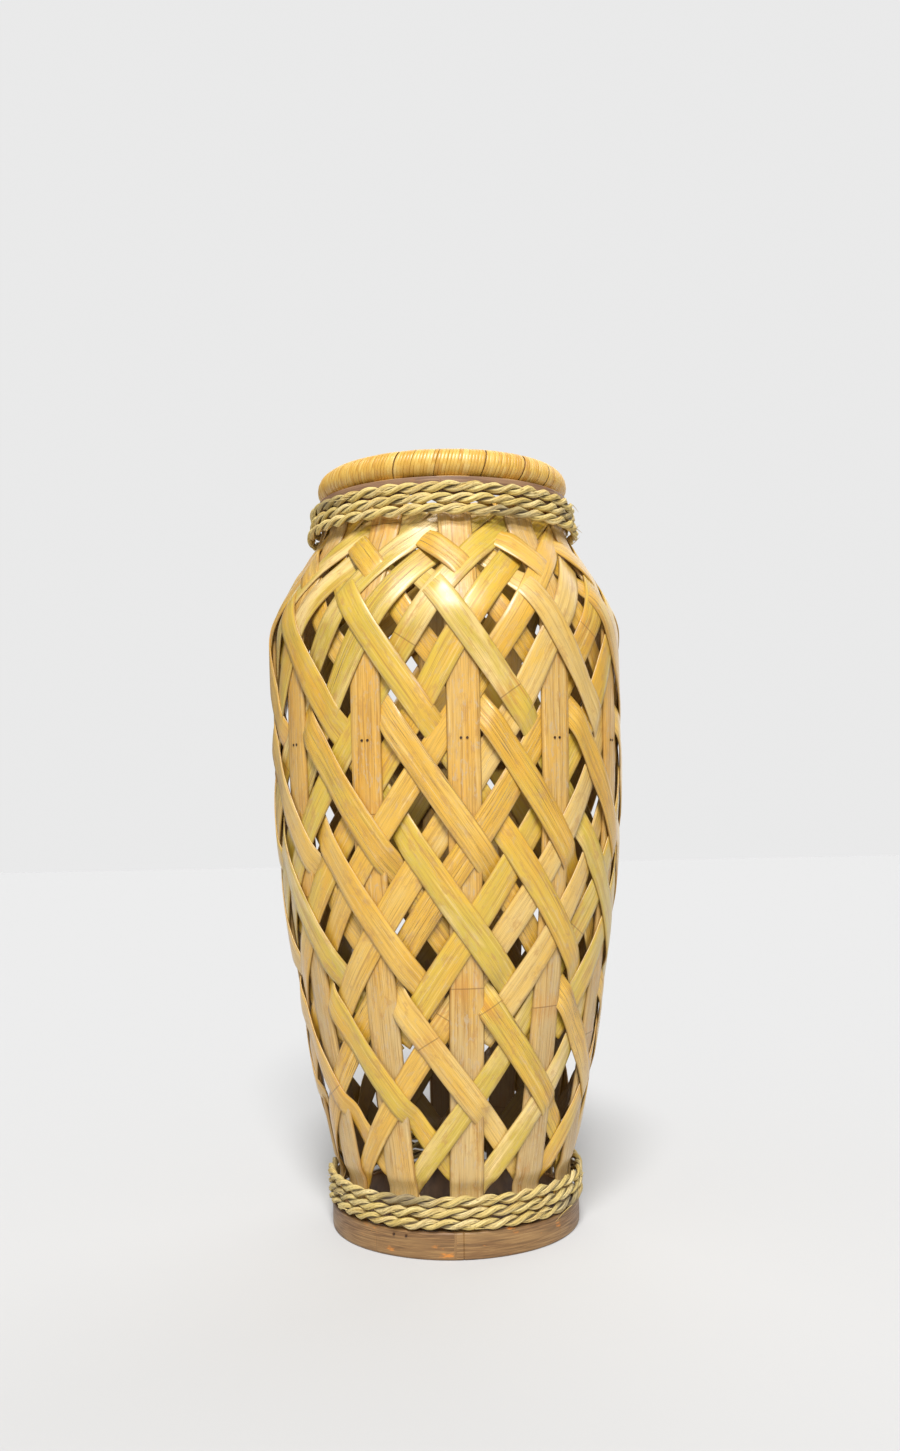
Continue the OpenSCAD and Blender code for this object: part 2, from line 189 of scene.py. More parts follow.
def mesh_object(name, verts, faces, material, uv=None, values=None):
    """A smooth-shaded mesh piece. verts are in millimetres; uv and values are per vertex."""
    mesh = bpy.data.meshes.new(name)
    mesh.from_pydata((np.asarray(verts) * MM).tolist(), [], faces)
    mesh.polygons.foreach_set("use_smooth", [True] * len(mesh.polygons))
    loops = np.zeros(len(mesh.loops), np.int32)
    mesh.loops.foreach_get("vertex_index", loops)
    if uv is not None:
        layer = mesh.uv_layers.new(name="UVMap")
        layer.data.foreach_set("uv", np.asarray(uv, np.float32)[loops].ravel())
    for key, data in (values or {}).items():
        layer = mesh.attributes.new(key, "FLOAT", "POINT")
        layer.data.foreach_set("value", np.asarray(data, np.float32))
    mesh.materials.append(material)
    mesh.validate()
    mesh.update()
    return link(bpy.data.objects.new(name, mesh))


def grid_faces(rings, around, closed_path=False):
    """Quads between rings of points that run round a closed section, with end caps."""
    faces = []
    last = rings if closed_path else rings - 1
    for i in range(last):
        a, b = i * around, (i + 1) % rings * around
        for j in range(around):
            k = (j + 1) % around
            faces.append((a + j, a + k, b + k, b + j))
    if not closed_path:
        faces.append(tuple(range(around - 1, -1, -1)))
        faces.append(tuple((rings - 1) * around + j for j in range(around)))
    return faces


def sweep(name, points, material, uv, values, closed_path=False):
    """A closed bar from an array of rings x points x 3."""
    rings, around = points.shape[:2]
    flat = {k: np.broadcast_to(v, (rings, around)).ravel() for k, v in values.items()}
    return mesh_object(
        name,
        points.reshape(-1, 3),
        grid_faces(rings, around, closed_path),
        material,
        uv.reshape(-1, 2),
        flat,
    )


def flat_section(width, thick, crown, cells=6):
    """Section of a split strip: positions across and heights, with rounded edges."""
    x = np.linspace(-1, 1, cells + 1)
    edge = thick * 0.35
    top_x = x * (width / 2 - edge)
    top_h = thick / 2 + crown * (1 - x * x)
    bottom_h = -thick / 2 + crown * (1 - x * x) * 0.8
    side = [(width / 2, 0.0)]
    other = [(-width / 2, 0.0)]
    pts = list(zip(top_x, top_h)) + side + list(zip(top_x[::-1], bottom_h[::-1])) + other
    return np.array(pts)[::-1]


# ---------------------------------------------------------------- materials


class Shader:
    """Small helper that adds nodes to one material."""

    def __init__(self, name):
        self.material = bpy.data.materials.new(name)
        self.material.use_nodes = True
        self.tree = self.material.node_tree
        self.bsdf = self.tree.nodes["Principled BSDF"]

    def node(self, kind, **settings):
        n = self.tree.nodes.new(kind)
        for key, value in settings.items():
            setattr(n, key, value)
        return n

    def join(self, source, target):
        self.tree.links.new(source, target)

    def value_of(self, name):
        return self.node("ShaderNodeAttribute", attribute_name=name).outputs["Fac"]

    def math(self, operation, a, b=0.0, clamp=False):
        n = self.node("ShaderNodeMath", operation=operation, use_clamp=clamp)
        for socket, x in zip(n.inputs, (a, b)):
            if isinstance(x, (int, float)):
                socket.default_value = x
            else:
                self.join(x, socket)
        return n.outputs[0]

    def grain_space(self, across, along, source="uv"):
        """Coordinates stretched along the fibres: scales are per millimetre."""
        out = self.node("ShaderNodeTexCoord").outputs["UV" if source == "uv" else "Object"]
        m = self.node("ShaderNodeMapping")
        m.inputs["Scale"].default_value = (across, along, across)
        self.join(out, m.inputs["Vector"])
        return m.outputs["Vector"]

    def noise(self, space, scale=1.0, detail=4.0, rough=0.55, distort=0.0):
        n = self.node("ShaderNodeTexNoise")
        n.inputs["Scale"].default_value = scale
        n.inputs["Detail"].default_value = detail
        n.inputs["Roughness"].default_value = rough
        n.inputs["Distortion"].default_value = distort
        self.join(space, n.inputs["Vector"])
        return n.outputs["Fac"]

    def ramp(self, fac, stops):
        n = self.node("ShaderNodeValToRGB")
        el = n.color_ramp.elements
        while len(el) < len(stops):
            el.new(0.5)
        for e, (pos, col) in zip(el, stops):
            e.position = pos
            e.color = (*col, 1) if len(col) == 3 else col
        self.join(fac, n.inputs["Fac"])
        return n.outputs["Color"]

    def mask(self, fac, low, high, to_low=0.0, to_high=1.0):
        n = self.node("ShaderNodeMapRange", interpolation_type="SMOOTHSTEP")
        n.inputs["From Min"].default_value = low
        n.inputs["From Max"].default_value = high
        n.inputs["To Min"].default_value = to_low
        n.inputs["To Max"].default_value = to_high
        self.join(fac, n.inputs["Value"])
        return n.outputs["Result"]

    def mix(self, fac, a, b, blend="MIX"):
        n = self.node("ShaderNodeMix", data_type="RGBA", blend_type=blend)
        factor, first, second = n.inputs[0], n.inputs[6], n.inputs[7]
        for socket, x in ((factor, fac), (first, a), (second, b)):
            if isinstance(x, (int, float)):
                socket.default_value = x
            elif isinstance(x, tuple):
                socket.default_value = (*x, 1)
            else:
                self.join(x, socket)
        return n.outputs[2]

    def bump(self, height, strength, distance_mm):
        n = self.node("ShaderNodeBump")
        n.inputs["Strength"].default_value = strength
        n.inputs["Distance"].default_value = distance_mm * MM
        self.join(height, n.inputs["Height"])
        return n.outputs["Normal"]

    def finish(self, color, rough, normal, coat=0.0, specular=0.5):
        self.join(color, self.bsdf.inputs["Base Color"])
        if isinstance(rough, (int, float)):
            self.bsdf.inputs["Roughness"].default_value = rough
        else:
            self.join(rough, self.bsdf.inputs["Roughness"])
        if normal is not None:
            self.join(normal, self.bsdf.inputs["Normal"])
        self.bsdf.inputs["Coat Weight"].default_value = coat
        self.bsdf.inputs["Coat Roughness"].default_value = 0.28
        self.bsdf.inputs["Specular IOR Level"].default_value = specular
        return self.material


AMBER = (0.4, 0.19, 0.03)
PALE_STRAW = (0.86, 0.66, 0.3)
FIBRE_BROWN = (0.26, 0.13, 0.025)
FINE_BROWN = (0.24, 0.13, 0.04)
SPLIT_BROWN = (0.1, 0.045, 0.012)
BLOTCH_BROWN = (0.47, 0.24, 0.06)
SCUFF_GREY = (0.5, 0.38, 0.24)
NODE_ORANGE = (0.55, 0.22, 0.03)
NODE_BROWN = (0.2, 0.09, 0.02)
EDGE_BROWN = (0.36, 0.2, 0.05)
# painted shade for the inner faces of split bamboo, seen through the gaps of the weave
INSIDE_SHADE_BROWN = (0.12, 0.055, 0.018)


def bamboo_material(name, stops, fibre_dark, coat, line_level, scuffed):
    """Split bamboo: colour patches along the strip, fine fibres, splits and node rings."""
    s = Shader(name)
    patches = s.noise(s.grain_space(0.05, 0.014), detail=4.0, distort=0.5)
    tone = s.math("ADD", s.math("MULTIPLY", s.value_of("tone"), 0.7), s.math("MULTIPLY", patches, 0.9))
    base = s.ramp(s.math("SUBTRACT", tone, 0.3), stops)
    fibres = s.noise(s.grain_space(2.2, 0.02), detail=5.0, rough=0.65)
    fine = s.noise(s.grain_space(8.0, 0.06), detail=3.0, rough=0.7)
    streaks = s.noise(s.grain_space(0.45, 0.011), detail=4.0, rough=0.6, distort=0.25)
    color = s.mix(s.mask(streaks, 0.5, 0.72, 0.0, fibre_dark), base, AMBER)
    color = s.mix(s.mask(streaks, 0.28, 0.45, 0.5, 0.0), color, PALE_STRAW)
    color = s.mix(s.mask(fibres, 0.5, 0.74, 0.0, fibre_dark * 1.3), color, FIBRE_BROWN)
    color = s.mix(s.mask(fine, 0.5, 0.75, 0.0, 0.28), color, FINE_BROWN)
    splits = s.noise(s.grain_space(0.9, 0.004), detail=2.0, rough=0.4)
    line = s.mask(splits, line_level, line_level + 0.012)
    line = s.math("MULTIPLY", line, s.mask(splits, line_level + 0.016, line_level + 0.03, 1.0, 0.0))
    line = s.math("MULTIPLY", line, s.value_of("split"))
    color = s.mix(s.math("MULTIPLY", line, 0.9), color, SPLIT_BROWN)
    blotch = s.noise(s.grain_space(0.14, 0.05), detail=6.0, rough=0.72)
    color = s.mix(s.mask(blotch, 0.52, 0.64, 0.0, 0.6), color, BLOTCH_BROWN)
    scuff = s.noise(s.grain_space(0.3, 0.09), detail=5.0, rough=0.75, distort=1.0)
    color = s.mix(s.mask(scuff, 0.52, 0.66, 0.0, scuffed), color, SCUFF_GREY)
    ring = s.mask(s.math("ABSOLUTE", s.value_of("node_d")), 0.2, 0.7, 0.6, 0.0)
    glow = s.mask(s.math("ABSOLUTE", s.value_of("node_d")), 1.0, 16.0, 0.4, 0.0)
    color = s.mix(s.math("MULTIPLY", glow, s.mask(streaks, 0.35, 0.6)), color, NODE_ORANGE)
    color = s.mix(ring, color, NODE_BROWN)
    color = s.mix(s.mask(s.value_of("edge"), 0.88, 1.0, 0.0, 0.6), color, EDGE_BROWN)
    # painted shade: the inner faces are darkened, most of all low in the vase
    color = s.mix(s.value_of("inside_shade"), color, INSIDE_SHADE_BROWN)
    grain = s.math("ADD", fibres, s.math("MULTIPLY", fine, 0.4))
    height = s.math("SUBTRACT", grain, s.math("MULTIPLY", line, 2.0))
    rough = s.mask(fibres, 0.3, 0.8, 0.3, 0.58)
    return s.finish(color, rough, s.bump(height, 0.45, 0.3), coat=coat)


ROPE_STOPS = [
    (0.25, (0.3, 0.19, 0.06)),
    (0.4, (0.76, 0.55, 0.17)),
    (0.6, (0.92, 0.74, 0.34)),
    (0.8, (0.64, 0.5, 0.14)),
]
BLADE_BROWN = (0.2, 0.11, 0.025)
BLADE_SHINE = (0.97, 0.85, 0.5)
SECOND_STRAND = (0.66, 0.5, 0.13)
ROPE_CREVICE_SHADE = (0.06, 0.035, 0.012)
# painted shade for the crevices of the rope
ROPE_STAIN = (0.06, 0.045, 0.05)


def rope_material():
    """Twisted dry seagrass: straw with brown fibre streaks, and painted shade between the strands and in
    the grooves of the blades.
    """
    s = Shader("seagrass")
    blades = s.noise(s.grain_space(1.6, 0.05), detail=5.0, rough=0.7)
    patch = s.noise(s.grain_space(0.08, 0.012), detail=2.0)
    base = s.ramp(patch, ROPE_STOPS)
    color = s.mix(s.mask(blades, 0.35, 0.62, 0.65, 0.0), base, BLADE_BROWN)
    color = s.mix(s.mask(blades, 0.52, 0.72, 0.0, 0.6), color, BLADE_SHINE)
    color = s.mix(s.math("MULTIPLY", s.value_of("tone"), 0.35), color, SECOND_STRAND)
    # painted shade: darker near the rope's core, where the strands meet, and in the blade grooves
    color = s.mix(s.mask(s.value_of("crevice_shade"), 0.15, 0.75, 0.0, 0.85), color, ROPE_CREVICE_SHADE)
    color = s.mix(s.value_of("dark"), color, ROPE_STAIN)
    return s.finish(color, 0.62, s.bump(blades, 0.7, 0.5), specular=0.35)


WRAP_STOPS = [
    (0.2, (0.44, 0.2, 0.025)),
    (0.42, (0.64, 0.35, 0.05)),
    (0.62, (0.72, 0.44, 0.08)),
    (0.9, (0.8, 0.57, 0.2)),
]
WRAP_EDGE = (0.36, 0.17, 0.02)
WRAP_WEAR = (0.55, 0.28, 0.08)


def wrap_material():
    """Fine golden strip wound round the rim."""
    s = Shader("rim_winding")
    fibres = s.noise(s.grain_space(3.5, 0.06), detail=4.0, rough=0.6)
    wear = s.noise(s.grain_space(0.05, 0.05, "object"), scale=900.0, detail=3.0)
    tone = s.math("ADD", s.math("MULTIPLY", s.value_of("tone"), 0.4), s.math("MULTIPLY", fibres, 0.7))
    base = s.ramp(tone, WRAP_STOPS)
    color = s.mix(s.mask(s.value_of("edge"), 0.7, 1.0, 0.0, 0.4), base, WRAP_EDGE)
    color = s.mix(s.mask(wear, 0.55, 0.75, 0.0, 0.3), color, WRAP_WEAR)
    rough = s.mask(fibres, 0.3, 0.8, 0.3, 0.5)
    return s.finish(color, rough, s.bump(fibres, 0.3, 0.15), coat=0.25)


def brown_material(name, dark, mid, light, orange_amount):
    """Thick brown bamboo band with grain along the hoop and orange patches."""
    s = Shader(name)
    grain = s.noise(s.grain_space(0.9, 0.03), detail=6.0, rough=0.65, distort=0.6)
    broad = s.noise(s.grain_space(0.09, 0.012), detail=3.0)
    color = s.ramp(grain, [(0.3, dark), (0.52, mid), (0.72, light)])
    color = s.mix(s.mask(broad, 0.35, 0.7, 0.0, 0.5), color, light)
    spots = s.noise(s.grain_space(0.11, 0.035), detail=4.0, rough=0.6)
    color = s.mix(s.mask(spots, 0.6, 0.7, 0.0, orange_amount), color, (0.62, 0.22, 0.03))
    rough = s.mask(grain, 0.3, 0.7, 0.6, 0.42)
    return s.finish(color, rough, s.bump(grain, 0.5, 0.3), coat=0.08)


def inner_band_material():
    """Band bamboo on CAD nodes, which have no UV map: grain from object coordinates."""
    s = Shader("inner_band")
    m = s.node("ShaderNodeMapping")
    m.inputs["Scale"].default_value = (25, 25, 500)
    s.join(s.node("ShaderNodeTexCoord").outputs["Object"], m.inputs["Vector"])
    grain = s.noise(m.outputs["Vector"], detail=5.0, rough=0.6)
    color = s.ramp(grain, [(0.3, (0.2, 0.09, 0.03)), (0.55, (0.36, 0.19, 0.07)), (0.75, (0.5, 0.29, 0.12))])
    return s.finish(color, 0.55, s.bump(grain, 0.4, 0.3))


def floor_board_material():
    """Dark board with straight grain."""
    s = Shader("floor_board")
    m = s.node("ShaderNodeMapping")
    m.inputs["Scale"].default_value = (160, 14, 14)
    s.join(s.node("ShaderNodeTexCoord").outputs["Object"], m.inputs["Vector"])
    grain = s.noise(m.outputs["Vector"], detail=5.0, rough=0.6, distort=0.3)
    stops = [(0.3, (0.09, 0.045, 0.02)), (0.55, (0.17, 0.09, 0.04)), (0.8, (0.25, 0.14, 0.07))]
    color = s.ramp(grain, stops)
    return s.finish(color, 0.6, s.bump(grain, 0.4, 0.3))


def nail_material():
    """Dull wire nail with a little rust."""
    s = Shader("nail_steel")
    rust = s.noise(s.grain_space(1.0, 1.0, "object"), scale=600.0, detail=3.0)
    color = s.ramp(rust, [(0.4, (0.05, 0.04, 0.035)), (0.65, (0.16, 0.07, 0.03))])
    s.bsdf.inputs["Metallic"].default_value = 0.8
    return s.finish(color, 0.5, None)


STRIP_STOPS = [
    (0.05, (0.72, 0.49, 0.15)),
    (0.25, (0.74, 0.45, 0.075)),
    (0.45, (0.7, 0.38, 0.028)),
    (0.62, (0.67, 0.43, 0.04)),
    (0.78, (0.59, 0.42, 0.045)),
    (0.95, (0.82, 0.59, 0.23)),
]
STAKE_STOPS = [
    (0.05, (0.53, 0.38, 0.18)),
    (0.3, (0.6, 0.41, 0.16)),
    (0.55, (0.68, 0.4, 0.09)),
    (0.8, (0.7, 0.36, 0.045)),
]
strip_bamboo = bamboo_material("strip_bamboo", STRIP_STOPS, 0.7, 0.6, 0.56, 0.35)
stake_bamboo = bamboo_material("stake_bamboo", STAKE_STOPS, 0.95, 0.15, 0.58, 0.75)
seagrass = rope_material()
rim_winding = wrap_material()
foot_brown = brown_material("foot_band", (0.06, 0.026, 0.01), (0.21, 0.105, 0.036), (0.4, 0.24, 0.09), 0.9)
neck_brown = brown_material("neck_band", (0.1, 0.045, 0.025), (0.24, 0.125, 0.065), (0.4, 0.24, 0.13), 0.3)
inner_band = inner_band_material()
board = floor_board_material()
steel = nail_material()

# ---------------------------------------------------------------- woven strips


def fall_level(sign, k, a, z):
    """Level of a falling strip: over four rising strips and a stake, then under as many."""
    cross = (a - strip_angle(1, RISE_LONG, 0, z)) / STEP - k
    over = woven_sign(cross, LONG_CHANGES if sign > 0 else SHORT_CHANGES)
    low = STRIP_T + GAP
    high = (STAKE_T + STRIP_T) / 2 + STRIP_T + 2 * GAP
    return sign * over * (low + (high - low) * np.abs(near_stake(a)))


def rise_level(sign, k, a):
    """Level of a rising strip: over one stake, under the next."""
    high = (STAKE_T + STRIP_T) / 2 + GAP
    return sign * (-1) ** k * high * near_stake(a)


def internodes(length, rng, spacing):
    """Heights of the bamboo's node rings along a strip."""
    at = rng.uniform(-spacing, 0)
    rings = []
    while at < length:
        rings.append(at)
        at += spacing * rng.uniform(0.75, 1.3)
    return np.array(rings)


def node_values(v, rng, spacing, spread):
    """Distance to the nearest node ring and the colour tone at distances v along a strip."""
    rings = internodes(v.max(), rng, spacing)
    nearest = rings[np.abs(v[:, None] - rings[None, :]).argmin(axis=1)]
    base = rng.random()
    tones = {r: min(1, max(0, base + rng.uniform(-spread, spread))) for r in rings}
    start = rings[np.maximum(0, np.searchsorted(rings, v, side="right") - 1)]
    tone = np.array([tones[s] for s in start])
    return v - nearest, tone


def inner_shade(section, z):
    """Painted shade on the unseen inner face of split bamboo: darkest low in the vase, lighter towards the
    mouth.
    """
    inner = (section[:, 1] < 0)[None, :]
    return inner * np.interp(z, (0, 250, STAKE_TOP), (0.75, 0.55, 0.3))[:, None]


SECTION_EVERY = 2.6  # mm of height
STRIP_RINGS, STAKE_RINGS = 330, 260  # mm between node rings


def weave_strip(name, node, side, sign, cross_z, k, bottom, rng):
    """One diagonal strip along its route, with its own width, wander and colour."""
    z = np.linspace(bottom, STRIP_TOP, int((STRIP_TOP - bottom) / SECTION_EVERY))
    lean = lean_at(z)
    wide = strip_width(z) * rng.uniform(0.92, 1.02)
    phase = rng.uniform(0, 6.28)
    wander = 0.9 * np.sin(z / 90 + phase) + 0.3 * np.sin(z / 31 + 2 * phase)
    section = flat_section(STRIP_W, STRIP_T, 0.16)
    across = section[:, 0][None, :] / STRIP_W * wide[:, None] + wander[:, None]
    steep = np.sqrt(1 + slope(z) ** 2)[:, None]
    zz = z[:, None] - side * across * np.sin(lean)[:, None] / steep
    a = strip_angle(side, cross_z, k, z)[:, None] + np.degrees(
        across * np.cos(lean)[:, None] / mid_r(z)[:, None]
    )
    lift = rise_level(sign, k, a) if side > 0 else fall_level(sign, k, a, zz)
    points = surface(a, zz, lift + section[:, 1][None, :])
    steps = np.linalg.norm(np.diff(points[:, 0], axis=0), axis=1)
    v = np.concatenate([[0], np.cumsum(steps)])
    node_d, tone = node_values(v, rng, STRIP_RINGS, 0.3)
    grain_across = across + 60 * rng.random()
    grain_along = np.broadcast_to(v[:, None], across.shape) + 900 * rng.random()
    uv = np.stack([grain_across, grain_along], axis=-1)
    values = {
        "tone": tone[:, None],
        "node_d": node_d[:, None],
        "edge": np.abs(section[:, 0])[None, :] / (STRIP_W / 2),
        "split": float(rng.random() < 0.3),
        "inside_shade": inner_shade(section, z),
    }
    piece = sweep(name, points, strip_bamboo, uv, values)
    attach(piece, "root")
    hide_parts(node)


# Family, strips in one CAD node, side, sign, height where it crosses its stake, lower end
FAMILIES = (
    ("fall_long", 1, -1, 1, FALL_LONG, LONG_END),
    ("rise_long", 1, 1, 1, RISE_LONG, LONG_END),
    ("fall_short", 3, -1, -1, FALL_SHORT, FALL_SHORT_END),
    ("rise_short", 3, 1, -1, RISE_SHORT, RISE_SHORT_END),
)


def make_strips():
    """All the diagonal strips, one of each family at a time."""
    rng = random.Random(11)
    for k in range(STAKES):
        for family, shared, side, sign, cross_z, bottom in FAMILIES:
            name = f"{family}_{k + 1:02d}_strip"
            node = f"{family}_{k // shared + 1:02d}"
            weave_strip(name, node, side, sign, cross_z, k, bottom, rng)


# ---------------------------------------------------------------- stakes


STAKE_FOOT = 0.5  # mm above the surface that the vase stands on
STAKE_TONE_Z, STAKE_TONE = (0, 170, 260, 420, 577), (0.05, 0.2, 0.55, 0.62, 0.35)
RING_RISE, RING_HALF = 0.45, 2.2


def make_stake(k, rng):
    """One upright stake with a crowned face and raised node rings."""
    z = np.linspace(STAKE_FOOT, STAKE_TOP, 230)
    section = flat_section(STAKE_W, STAKE_T, 0.35, cells=8)
    wide = STAKE_W * (1 + 0.025 * np.sin(z / 70 + k) + 0.012 * np.sin(z / 23 + 3 * k))
    across = section[:, 0][None, :] / STAKE_W * wide[:, None]
    a = START + k * STEP + np.degrees(across / mid_r(z)[:, None])
    node_d, tone = node_values(z, rng, STAKE_RINGS, 0.08)
    tone = 0.3 * (tone - 0.5) + np.interp(z, STAKE_TONE_Z, STAKE_TONE)
    ridge = RING_RISE * np.exp(-((node_d / RING_HALF) ** 2))
    up = np.sign(section[:, 1])[None, :] > 0
    zz = np.broadcast_to(z[:, None], across.shape)
    points = surface(a, zz, section[:, 1][None, :] - 0.3 + ridge[:, None] * up)
    points[..., 2] = np.clip(points[..., 2], STAKE_FOOT, STAKE_TOP)
    uv = np.stack([across + 80 * rng.random(), zz + 900 * rng.random()], axis=-1)
    values = {
        "tone": tone[:, None],
        "node_d": node_d[:, None],
        "edge": np.abs(section[:, 0])[None, :] / (STAKE_W / 2),
        "split": 0.15,
        "inside_shade": inner_shade(section, z),
    }
    name = f"stake_{k + 1:02d}"
    piece = sweep(name + "_bamboo", points, stake_bamboo, uv, values)
    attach(piece, "root")
    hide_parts(name)


def make_stakes():
    """All the upright stakes."""
    rng = random.Random(5)
    for k in range(STAKES):
        make_stake(k, rng)


# ---------------------------------------------------------------- ropes

ROPE_H, ROPE_D, ROPE_PITCH, ROPE_TURNS, ROPE_STEP_A = 8.0, 5.4, 8.5, 3, 45
ROPE_LAY, BLADE_LAY = 33.0, 70  # mm of rope for one turn of the strands and of their blades
ROPE_GIRTH_R = 104.0  # radius from which the length along the rope is taken
ROPE_SECTION_EVERY, STRAND_SIDES = 1.8, 24
STRAND_OUT, STRAND_UP, STRAND_R = 1.25, 2.0, 2.2


def climbed(a):
    """Turns climbed after turning through angle a: level turns joined by a short rise."""
    turn = np.floor(a / 360)
    left = 360 * (turn + 1) - a
    return turn + np.where(left < ROPE_STEP_A, (1 + np.cos(np.pi * left / ROPE_STEP_A)) / 2, 0)


def rope_centre(low_z, turning, bands):
    """Height, angle and radius of the rope's centre line after turning so many degrees."""
    z = low_z + ROPE_H / 2 + ROPE_PITCH * climbed(turning)
    base = np.maximum(mid_r(z - ROPE_H / 2), mid_r(z + ROPE_H / 2)) + WEAVE_HALF
    if bands:
        base = np.where(z + ROPE_H / 2 > NECK_HOOP_LOW[2], np.maximum(base, NECK_HOOP_HIGH[0]), base)
    soft = np.convolve(np.pad(base, 8, mode="edge"), np.ones(17) / 17, mode="valid")
    return z, turning + 180, soft + 0.5 + ROPE_D / 2


def make_rope(name, low_z, bands, seed, dull):
    """A rope of two twisted strands, each a bundle of ridged blades."""
    rng = random.Random(seed)
    total = 360 * ROPE_TURNS - ROPE_STEP_A
    sections = int(total / 360 * 2 * math.pi * ROPE_GIRTH_R / ROPE_SECTION_EVERY)
    turning = np.linspace(0, total, sections)
    z, a, r = rope_centre(low_z, turning, bands)
    length = np.radians(turning) * ROPE_GIRTH_R
    rad = np.radians(a)
    out = np.stack([np.sin(rad), -np.cos(rad), np.zeros_like(rad)], axis=-1)
    centre = out * r[:, None]
    centre[:, 2] = z
    psi = np.linspace(0, 2 * np.pi, STRAND_SIDES, endpoint=False)
    loose = 0.25 * np.sin(length / 37) + 0.2 * np.sin(length / 17 + 1)
    for strand in range(2):
        turn = 2 * np.pi * length / ROPE_LAY + np.pi * strand + 0.4 * np.sin(length / 53 + strand)
        swing = 1 + 0.12 * np.sin(length / 11 + 4 * strand)
        offset_out = np.cos(turn) * STRAND_OUT * swing
        offset_up = np.sin(turn) * STRAND_UP * swing + loose
        thick = 1.0 + 0.1 * np.sin(length / 9.0 + 2.1 * strand) + 0.06 * np.sin(length / 3.7)
        twist = psi[None, :] - 2 * np.pi * length[:, None] / BLADE_LAY
        blades = np.abs(np.sin(2.5 * twist + 0.5 * np.sin(length[:, None] / 13)))
        ridges = 0.8 + 0.27 * blades + 0.04 * np.sin(11 * twist)
        local_r = STRAND_R * thick[:, None] * ridges
        o = offset_out[:, None] + np.cos(psi)[None, :] * local_r * 0.85
        u = offset_up[:, None] + np.sin(psi)[None, :] * local_r
        points = centre[:, None, :] + out[:, None, :] * o[..., None]
        points[..., 2] += u
        # painted crevice shade: darker where a strand's surface lies close to the rope's core and in the
        # grooves between its blades
        away = np.sqrt((o / 0.72) ** 2 + u**2)
        crevice_shade = np.clip((3.1 - away) / 2.0, 0, 1)
        crevice_shade = np.maximum(crevice_shade, 0.75 * np.clip((0.3 - blades) / 0.3, 0, 1))
        stain = np.clip(np.sin(length / 61 + seed) + np.sin(length / 23 + 2 * seed) - 1.25, 0, 1)
        grain_along = np.broadcast_to(length[:, None], o.shape) + 700 * rng.random()
        uv = np.stack([twist * 2.1 + 30 * strand, grain_along], axis=-1)
        values = {"crevice_shade": crevice_shade, "dark": dull + stain[:, None] * 0.7, "tone": float(strand)}
        piece = sweep(f"{name}_strand_{strand + 1}", points, seagrass, uv, values)
        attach(piece, "root")
        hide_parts(name)


def make_fibres(name, low_z, bands, count, seed):
    """Loose blades that stand off a rope, thin and tapered to their tips."""
    rng = random.Random(seed)
    verts, faces, uv = [], [], []
    around = 5
    turns = np.linspace(0, 2 * np.pi, around, endpoint=False)
    for i in range(count):
        start = rng.uniform(20, 360 * ROPE_TURNS - ROPE_STEP_A - 40)
        reach = rng.uniform(8, 26)
        share = np.linspace(0, 1, 12)
        turning = start + np.degrees(rng.choice((-1, 1)) * reach * share / 100)
        z, a, r = rope_centre(low_z, turning, bands)
        r = r + 2.6 + rng.uniform(0.5, 3.5) * share**1.5
        z = z + rng.uniform(-3, 3) + rng.uniform(-7, 4) * share**2
        rad = np.radians(a)
        out = np.stack([np.sin(rad), -np.cos(rad), 0 * rad], axis=-1)
        thick = rng.uniform(0.25, 0.5) * (1 - 0.8 * share)
        ring = out[:, None, :] * (r[:, None] + thick[:, None] * np.cos(turns))[..., None]
        ring[..., 2] = z[:, None] + thick[:, None] * np.sin(turns)
        first = len(verts)
        verts += ring.reshape(-1, 3).tolist()
        faces += [tuple(first + v for v in f) for f in grid_faces(len(share), around)]
        uv += [(t, reach * d + 50 * i) for d in share for t in turns]
    values = {key: np.zeros(len(verts)) for key in ("crevice_shade", "dark", "tone")}
    piece = mesh_object(f"{name}_fibres", verts, faces, seagrass, uv, values)
    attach(piece, "root")
    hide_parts(name)


# ---------------------------------------------------------------- rim

RIM_GAPS = (-21, 19, 39, 56, 118, 171, 233, 292)
RIM_TURNS, TURN_POINTS = 236, 22
TURN_WIDTH = 1.16
# The wound strip's section: places across, in shares of a turn, and heights in millimetres
TURN_SECTION = [
    (-0.5, -0.12),
    (-0.3, 0.16),
    (0, 0.24),
    (0.3, 0.16),
    (0.5, -0.12),
    (0.3, -0.45),
    (-0.3, -0.45),
]


